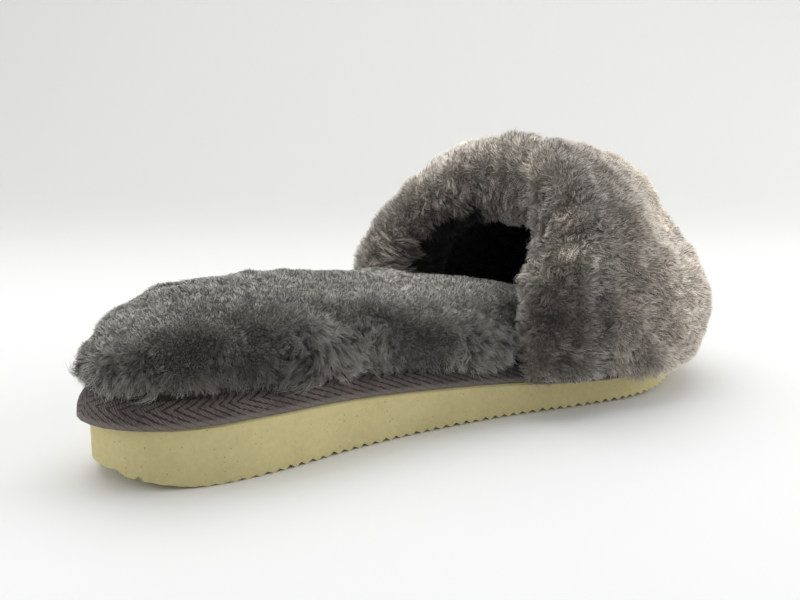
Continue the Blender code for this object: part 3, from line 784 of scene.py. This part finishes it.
def strandObject(name, coords, shading, tones, normals):
    count = len(coords)
    mesh = bpy.data.meshes.new(name)
    mesh.vertices.add(count * 4)
    mesh.vertices.foreach_set("co", coords.reshape(-1).astype(np.float32))
    pattern = np.array([[0, 1, 2], [1, 3, 2]])
    # faces wind so that their fronts look away from the pelt
    front = np.cross(coords[:, 1] - coords[:, 0], coords[:, 2] - coords[:, 0])
    flipped = (front * normals).sum(axis=1) < 0
    faces = pattern[None] + (np.arange(count) * 4)[:, None, None]
    faces = np.where(flipped[:, None, None], faces[:, :, ::-1], faces)
    total = count * len(pattern)
    mesh.loops.add(total * 3)
    mesh.loops.foreach_set("vertex_index", faces.reshape(-1).astype(np.int32))
    mesh.polygons.add(total)
    mesh.polygons.foreach_set("loop_start", np.arange(0, total * 3, 3, dtype=np.int32))
    mesh.update(calc_edges=True)
    mesh.shade_smooth()
    mesh.normals_split_custom_set_from_vertices(shading.reshape(-1, 3).astype(np.float32))
    toneLayer = mesh.color_attributes.new("furTone", "FLOAT_COLOR", "POINT")
    toneLayer.data.foreach_set("color", tones.reshape(-1).astype(np.float32))
    strands = addObject(name, mesh)
    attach(strands, "root")
    print(name, "grown:", total, "triangles")
    return strands


def evenly(points, normals):
    return np.ones(len(points))


def facing(points, normals, heart):
    # above 0 where the surface faces away from this place
    return ((points - np.array(heart)) * normals).sum(axis=1)


# Footbed fur: stands like velvet on top, and falls outwards at the sides

footbedFur = {
    "seed": 11, "strands": 98000, "height": 0.0026, "width": 0.00015, "perLock": 26, "uneven": 0.12,
    "lockUneven": 0.22, "lockLean": 0.28, "stray": 0.17, "curl": 0.12, "gather": 0.26, "wander": 0.38,
    "wanderSize": 0.018, "lockRound": 0.003, "lockRelief": 0.7, "ruffleSize": 0.020, "ruffled": 0.35,
}
# the heel's half and the ball's half are separate pieces, so that each stays light
footbedHalves = {"heelFur": (-1.0, 0.050), "ballFur": (0.050, 1.0)}
footbedPile = {
    "back": -0.12, "down": -0.35, "outward": 0.5, "top": 0.62, "side": 0.58, "foot": 0.15, "beside": 0.4,
    "sideFrom": 0.85, "sideSpread": 0.6, "besidePlaces": (0.070, 0.095), "besideEnd": (0.120, 0.010),
    "ruffle": 0.60, "smooth": 0.42, "underside": -0.7, "arch": 0.150, "underArch": 0.3,
}


def footbedLay(points, normals):
    lay = np.zeros_like(points)
    lay[:, 0] = footbedPile["back"]
    lay[:, 2] = footbedPile["down"] * (1 - np.clip(normals[:, 2], 0, 1))
    # at the foot it lies outwards, away from the middle of the sole
    across = points[:, 1] - archMiddle[0]
    outward = unit(np.stack([np.minimum(points[:, 0], 0), across, points[:, 2] * 0], axis=1))
    return lay + outward * footAt(points, normals)[:, None] * footbedPile["outward"]


def footbedSide(normals):
    return ease(footbedPile["sideFrom"] - normals[:, 2], 0, footbedPile["sideSpread"])


def footbedHeight(points, normals):
    # shorn closest on top, longer at the sides and beside the cuff
    pile, side = footbedPile, footbedSide(normals)
    beside = ease(points[:, 0], *pile["besidePlaces"]) * behind(points, *pile["besideEnd"]) * side
    return pile["top"] + pile["side"] * side + pile["foot"] * footAt(points, normals) + pile["beside"] * beside


def footbedRuffle(points, normals):
    # smooth on top, ruffled down the sides
    return footbedPile["ruffle"] * footbedSide(normals) - footbedPile["smooth"]


def growsBetween(start, end):
    def grows(points, normals):
        # none underneath, where the pad lies on its board, and few under the arch of the upper
        inHalf = (points[:, 0] >= start) & (points[:, 0] < end)
        share = np.where(points[:, 0] > footbedPile["arch"], footbedPile["underArch"], 1.0)
        return inHalf * (normals[:, 2] > footbedPile["underside"]) * share
    return grows


for half, (start, end) in footbedHalves.items():
    strands = growFur(
        half, footbedPelt, strandMaterials["footbed"], footbedFur, footbedLay, growsBetween(start, end),
        footbedShade, footbedHeight, footbedRuffle,
    )

# Cuff fur: it parts along the lip of the roll and runs back over both of its sides

cuffFur = {
    "seed": 23, "strands": 99000, "height": 0.0030, "width": 0.00016, "perLock": 24, "uneven": 0.10,
    "lockUneven": 0.20, "lockLean": 0.26, "stray": 0.18, "curl": 0.14, "gather": 0.40, "wander": 0.30,
    "wanderSize": 0.020, "lockRound": 0.003, "lockRelief": 0.6, "ruffleSize": 0.022, "ruffled": 0.35,
}
upperPile = {
    "parted": 0.55, "partingTurn": 3, "forward": 0.35, "down": -0.40, "forwardPlaces": (0.138, 0.160),
    "ridge": 0.35, "ridgeWidth": 0.35, "lip": 0.25, "lipFacing": (0.3, 0.9), "ruffle": 0.60, "smooth": 0.15,
    "lockSpace": (0.045, 0.0054, 0.2),
}


def upperLay(points, normals):
    # away from the parting on both its sides, then forwards and down over the toe
    turn, around, parting = rollPlace(points)
    out = np.stack([np.zeros(len(points)), -np.cos(turn), np.sin(turn)], axis=1)
    tangent = out * np.cos(around)[:, None]
    tangent[:, 0] += np.sin(around)
    away = np.tanh((around - parting) * upperPile["partingTurn"])[:, None] * tangent * upperPile["parted"]
    forward = np.array([upperPile["forward"], 0.0, upperPile["down"]])
    share = ease(points[:, 0], *upperPile["forwardPlaces"])[:, None]
    return away * (1 - share) + forward * share


def cuffHeight(points, normals):
    # shorn closest on the lip, and fullest along the parting
    _, around, parting = rollPlace(points)
    ridge = dome(around - parting, upperPile["ridgeWidth"])
    lip = ease(-normals[:, 0], *upperPile["lipFacing"]) * insideParting(points)
    return 1 + upperPile["ridge"] * ridge - upperPile["lip"] * lip


def cuffRuffle(points, normals):
    return upperPile["ruffle"] * insideParting(points) - upperPile["smooth"]


def cuffLocks(points):
    return drawnOut(points, *upperPile["lockSpace"])


cuffStrands = growFur(
    "cuffFur", cuffPelt, strandMaterials["cuff"], cuffFur, upperLay, evenly, upperShade,
    cuffHeight, cuffRuffle, cuffLocks,
)

# Toe fur: the upper's own pile, lying forwards and down to the sole

toeFur = {
    "seed": 37, "strands": 99000, "height": 0.0029, "width": 0.00016, "perLock": 26, "uneven": 0.09,
    "lockUneven": 0.15, "lockLean": 0.18, "stray": 0.16, "curl": 0.10, "gather": 0.20, "wander": 0.22,
    "wanderSize": 0.028, "lockRound": 0.003, "lockRelief": 0.5, "ruffleSize": 0.030, "ruffled": 0.15,
}
# the middles that toe and lining fur face away from and towards
toeHeart = (0.17, 0.002, 0.02)
liningHeart = (0.17, 0.002, 0.03)


def toeGrows(points, normals):
    # the inner side lies against the hide, and the lower rim against the sole
    return (facing(points, normals, toeHeart) > 0) * (normals[:, 2] > -0.8)


toeStrands = growFur(
    "toeFur", toePelt, strandMaterials["toe"], toeFur, upperLay, toeGrows, upperShade, evenly
)

# Lining fur: the same sheepskin seen inside the arch, on the hide's inner face, coloured in painted shade

liningFur = {
    "seed": 53, "strands": 30000, "height": 0.0060, "width": 0.00045, "perLock": 22, "uneven": 0.15,
    "lockUneven": 0.25, "lockLean": 0.3, "stray": 0.2, "curl": 0.3, "gather": 0.4, "wander": 0.3,
    "wanderSize": 0.025, "lockRound": 0.004, "lockRelief": 0.5, "ruffleSize": 0.02, "ruffled": 0.5,
}


def liningLay(points, normals):
    return np.zeros_like(points) + (0.6, 0.0, 0.0)


def liningGrows(points, normals):
    return facing(points, normals, liningHeart) < 0


liningStrands = growFur(
    "liningFur", nodes["upper"], strandMaterials["lining"], liningFur, liningLay, liningGrows, liningShade,
    evenly,
)


# Hide of the upper, board of the footbed

plainPieces = {
    "upper": ("suedeHide", colour(92, 84, 80), 700.0, 0.9, 0.0004),
    "footbed": ("footbedBoard", colour(112, 104, 94), 500.0, 0.85, 0.0003),
}
plainLook = {"specular": 0.3, "mottle": 0.2, "bump": 0.6}


def paintNode(node, name, shade, scale, rough, relief):
    constants = {"Roughness": rough, "Specular IOR Level": plainLook["specular"]}
    material, tree, shader = newMaterial(name, constants)
    grain = fillGroup(tree, fineGrain, {"Colour": shade, "Mottle": plainLook["mottle"], "Scale": scale})
    tree.links.new(grain.outputs["Color"], shader.inputs["Base Color"])
    addBump(tree, shader, grain.outputs["Height"], plainLook["bump"], relief)
    setMaterials(node.data, material)


for source, look in plainPieces.items():
    paintNode(nodes[source], *look)
print("hide and board painted")

# Sole: cut from crumb foam, with pinholes darkened as painted shade and faint mottling

soleFoam = {
    "lit": colour(205, 193, 142), "pit": colour(120, 108, 70), "pinholeShading": 0.45, "mottle": 0.14, "grain": 520.0,
    "pinholes": 900.0, "fewest": 0.80, "widest": 0.28, "rough": 0.8, "specular": 0.3, "bump": 0.5,
    "relief": 0.0004,
}
tread = {
    "heelPitch": 0.0048, "toePitch": 0.0038, "depth": 0.0016, "ragged": 0.35, "bottomSkin": 0.0018,
    "start": 0.008, "end": 0.006, "jitter": (0.85, 1.15), "seed": 71, "markStep": 0.005, "slack": 1e-6,
    "heelDepth": 0.22, "heelPlaces": (-0.025, 0.020),
}


def makeFoam():
    constants = {"Roughness": soleFoam["rough"], "Specular IOR Level": soleFoam["specular"]}
    material, tree, shader = newMaterial("crumbFoam", constants)
    look = {"Colour": soleFoam["lit"], "Mottle": soleFoam["mottle"], "Scale": soleFoam["grain"]}
    grain = fillGroup(tree, fineGrain, look)
    inputs = {"Vector": objectCoords(tree), "Scale": soleFoam["pinholes"]}
    pits = addNode(tree, "ShaderNodeTexVoronoi", inputs, feature="F1")
    draw = addNode(tree, "ShaderNodeSeparateColor", {0: pits.outputs["Color"]}).outputs[0]
    radius = rescale(tree, draw, soleFoam["fewest"], 1.0, 0.0, soleFoam["widest"])
    pit = calc(tree, "LESS_THAN", pits.outputs["Distance"], radius)
    # the pinholes are darkened towards the pit colour as painted shade in the holes
    pitted = blendColour(tree, times(tree, pit, soleFoam["pinholeShading"]), grain.outputs["Color"], soleFoam["pit"])
    tree.links.new(pitted, shader.inputs["Base Color"])
    height = calc(tree, "SUBTRACT", grain.outputs["Height"], pit)
    addBump(tree, shader, height, soleFoam["bump"], soleFoam["relief"])
    return material


def treadLine(points):
    # the lowest point of each stretch, where the ribs' crests give the line of the bottom
    crests = []
    for mark in np.arange(points[:, 0].min(), points[:, 0].max(), tread["markStep"]):
        close = points[(points[:, 0] >= mark) & (points[:, 0] < mark + tread["markStep"])]
        crests.append(close[close[:, 2].argmin()])
    return np.array(crests)


def treadTeeth(low, high):
    # where the bottom is cut, and how deep each cut lies
    rng = np.random.default_rng(tread["seed"])
    stations = [low + tread["start"]]
    while stations[-1] < high - tread["end"]:
        share = (stations[-1] - low) / (high - low)
        pitch = tread["heelPitch"] + (tread["toePitch"] - tread["heelPitch"]) * share
        stations.append(stations[-1] + pitch / 2 * rng.uniform(*tread["jitter"]))
    depths = np.zeros(len(stations))
    depths[1::2] = tread["depth"] * (1 - tread["ragged"] * rng.uniform(size=len(depths[1::2])))
    fade = ease(np.array(stations), *tread["heelPlaces"])
    return stations, depths * (tread["heelDepth"] + (1 - tread["heelDepth"]) * fade)


def makeSole():
    mesh = nodes["outsole"].data.copy()
    sole = addObject("treadedSole", mesh)
    # the solid's grooves are closed and cut again as finer, shallower teeth
    points, _ = meshPoints(mesh)
    crests = treadLine(points)
    stations, depths = treadTeeth(points[:, 0].min(), points[:, 0].max())
    form = formOf(mesh)
    cutPlane = {"plane_no": (1, 0, 0), "dist": tread["slack"]}
    for station in stations:
        geometry = form.verts[:] + form.edges[:] + form.faces[:]
        bmesh.ops.bisect_plane(form, geom=geometry, plane_co=(station, 0, 0), **cutPlane)
    for vert in form.verts:
        line = np.interp(vert.co.x, crests[:, 0], crests[:, 2])
        if vert.co.x > stations[0] - tread["slack"] and vert.co.z < line + tread["bottomSkin"]:
            vert.co.z = line + np.interp(vert.co.x, stations, depths, 0, 0)
    intoMesh(form, mesh)
    setMaterials(mesh, makeFoam())
    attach(sole, "root")
    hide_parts("outsole")
    return sole


sole = makeSole()
print("sole cut:", len(sole.data.polygons), "faces")

# Tape: herringbone twill wrapped round the footbed's edge

tapeWeave = {
    "warm": colour(102, 90, 85), "deep": colour(46, 39, 37), "selvedge": colour(132, 122, 114), "pitch": 0.0050,
    "slant": 2.7, "halfBand": 0.0062, "stitch": 0.0012, "stitchSlant": 1.3, "waver": 0.0009, "loose": 1.3,
    "ribs": (0.02, 0.45), "stitches": (0.0, 0.6, 0.45, 1.0), "border": (0.0026, 0.0012), "borderShare": 0.6,
    "mottle": 0.85, "grain": 800.0, "rough": 0.85, "sheen": 0.15, "bump": 0.9, "relief": 0.0004,
}
tapeForm = {
    "heelCentre": -0.001, "heelRadius": 0.0435, "weld": 0.00002, "joinFaces": 0.6, "joinShape": 0.8, "cuts": 2,
    "marks": 60,
}


def runAlong(points):
    # distance round the tape from the back of the heel: an arc behind the heel's centre, then straight on
    centre, radius = tapeForm["heelCentre"], tapeForm["heelRadius"]
    ahead = points[:, 0] - centre
    angle = np.arctan2(np.abs(points[:, 1]), -ahead)
    return np.where(ahead < 0, angle * radius, radius * math.pi / 2 + ahead)


def makeTape():
    mesh = nodes["edge_tape"].data.copy()
    tape = addObject("twillTape", mesh)
    form = formOf(mesh)
    bmesh.ops.remove_doubles(form, verts=form.verts, dist=tapeForm["weld"])
    limits = {"angle_face_threshold": tapeForm["joinFaces"], "angle_shape_threshold": tapeForm["joinShape"]}
    bmesh.ops.join_triangles(form, faces=form.faces, **limits)
    bmesh.ops.subdivide_edges(form, edges=form.edges, cuts=tapeForm["cuts"], use_grid_fill=True)
    intoMesh(form, mesh)
    mesh.shade_smooth()
    # the weave follows each point's run round the tape and its rise over the tape's lower edge
    points, _ = meshPoints(mesh)
    run = runAlong(points)
    marks = np.linspace(0, run.max(), tapeForm["marks"])
    place = np.digitize(run, marks)
    lowest = {k: points[place == k, 2].min() for k in range(1, tapeForm["marks"] + 1) if (place == k).any()}
    middles = [marks[k - 1] + (marks[1] - marks[0]) / 2 for k in lowest]
    writeValues(mesh, "tapeRun", run)
    writeValues(mesh, "tapeRise", points[:, 2] - np.interp(run, middles, list(lowest.values())))
    return tape


def rows(tree, place, pitch):
    # ribs across this run, one at every pitch, from 0 to 1
    wave = calc(tree, "SINE", times(tree, place, 2 * math.pi / pitch))
    return plus(tree, times(tree, wave, 0.5), 0.5)


def makeTwill():
    look = tapeWeave
    constants = {"Roughness": look["rough"], "Sheen Weight": look["sheen"]}
    material, tree, shader = newMaterial("herringboneTwill", constants)
    run, rise = attribute(tree, "tapeRun"), attribute(tree, "tapeRise")
    drift = calc(tree, "SUBTRACT", cloud(tree, objectCoords(tree), 160.0, 2.0), 0.5)
    fold = times(tree, calc(tree, "PINGPONG", rise, look["halfBand"]), look["slant"])
    ridge = rows(tree, plus(tree, plus(tree, run, times(tree, drift, look["waver"])), fold), look["pitch"])
    # each rib of the twill is a row of short stitches
    stitches = rows(tree, plus(tree, run, times(tree, rise, look["stitchSlant"])), look["stitch"])
    inputs = {"Colour": look["warm"], "Mottle": look["mottle"], "Scale": look["grain"]}
    grain = fillGroup(tree, fineGrain, inputs)
    loose = times(tree, calc(tree, "SUBTRACT", grain.outputs["Height"], 0.5), look["loose"])
    ribs = rescale(tree, plus(tree, ridge, loose), *look["ribs"])
    weave = times(tree, ribs, rescale(tree, stitches, *look["stitches"]))
    woven = blendColour(tree, weave, look["deep"], grain.outputs["Color"])
    border = times(tree, rescale(tree, rise, *look["border"]), look["borderShare"])
    edged = blendColour(tree, border, woven, look["selvedge"])
    tree.links.new(edged, shader.inputs["Base Color"])
    height = plus(tree, weave, times(tree, grain.outputs["Height"], 0.4))
    addBump(tree, shader, height, look["bump"], look["relief"])
    return material


tape = makeTape()
setMaterials(tape.data, makeTwill())
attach(tape, "root")
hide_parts("edge_tape")
print("tape wrapped:", len(tape.data.polygons), "faces")

# Studio: a pale floor that curves up into a pale wall, darker as painted shade, a broad light above and a pale
# sky

# the heading is the way that the camera looks, in degrees
studio = {
    "floorColour": (0.835, 0.84, 0.835, 1.0), "shadedWallColour": (0.63, 0.635, 0.62, 1.0), "rough": 0.6,
    "blendPlaces": (0.16, 0.60), "middle": (0.085, 0.0, 0.0), "heading": 36.5, "nearEnd": -2.5,
    "coveStart": 0.42, "coveRadius": 0.55, "coveSteps": 16, "wallHeight": 1.6, "halfWidth": 2.5,
    "skyColour": (0.97, 0.985, 1.0, 1), "skyStrength": 0.52,
}
# each light's place, aim, size, power and colour
softboxes = {
    "overhead": ((0.25, 0.30, 1.0), (0.09, 0, 0), (1.3, 1.0), 8.5, (1.0, 0.99, 0.97)),
    "rightSide": ((0.95, -0.34, 0.34), (0.18, 0, 0.05), (0.7, 0.4), 4.2, (1, 1, 1)),
    "leftSide": ((-0.75, 0.45, 0.40), (0.03, 0, 0.05), (0.6, 0.5), 2.2, (1, 1, 1)),
}


def coveProfile():
    # distances from the middle and heights, from the floor's near end to the top of the wall
    start, radius, steps = studio["coveStart"], studio["coveRadius"], studio["coveSteps"]
    angles = [math.pi / 2 * k / steps for k in range(1, steps + 1)]
    curve = [(start + radius * math.sin(angle), radius * (1 - math.cos(angle))) for angle in angles]
    return [(studio["nearEnd"], 0.0), (start, 0.0), *curve, (start + radius, studio["wallHeight"])]


def makeCove():
    form = bmesh.new()
    heading = math.radians(studio["heading"])
    away = Vector((math.sin(heading), math.cos(heading), 0))
    across = Vector((away.y, -away.x, 0))
    edges = []
    for distance, height in coveProfile():
        middle = Vector(studio["middle"]) + away * distance + Vector((0, 0, height))
        edges.append([form.verts.new(middle + across * side * studio["halfWidth"]) for side in (-1, 1)])
    for one, other in zip(edges, edges[1:]):
        form.faces.new([one[0], one[1], other[1], other[0]])
    bmesh.ops.recalc_face_normals(form, faces=form.faces)
    mesh = bpy.data.meshes.new("floor")
    intoMesh(form, mesh)
    mesh.shade_smooth()
    floor = addObject("floor", mesh)
    material, tree, shader = newMaterial("paleFloor", {"Roughness": studio["rough"]})
    inputs = {0: objectCoords(tree), 1: away}
    distance = addNode(tree, "ShaderNodeVectorMath", inputs, operation="DOT_PRODUCT").outputs["Value"]
    share = rescale(tree, distance, *studio["blendPlaces"])
    # up the cove the colour darkens from the floor's to the wall's, painted shade on the upright wall
    shade = blendColour(tree, share, studio["floorColour"], studio["shadedWallColour"])
    tree.links.new(shade, shader.inputs["Base Color"])
    mesh.materials.append(material)


def addSoftbox(name, place, aim, size, power, tint):
    lamp = bpy.data.lights.new(name, "AREA")
    lamp.shape = "RECTANGLE"
    lamp.size, lamp.size_y = size
    lamp.energy = power
    lamp.color = tint
    aimAt(addObject(name, lamp), place, aim)


makeCove()
for name, look in softboxes.items():
    addSoftbox(name, *look)
world = bpy.data.worlds.new("studioSky")
world.use_nodes = True
sky = world.node_tree.nodes["Background"].inputs
sky[0].default_value = studio["skyColour"]
sky[1].default_value = studio["skyStrength"]
scene.world = world
print("studio lit")
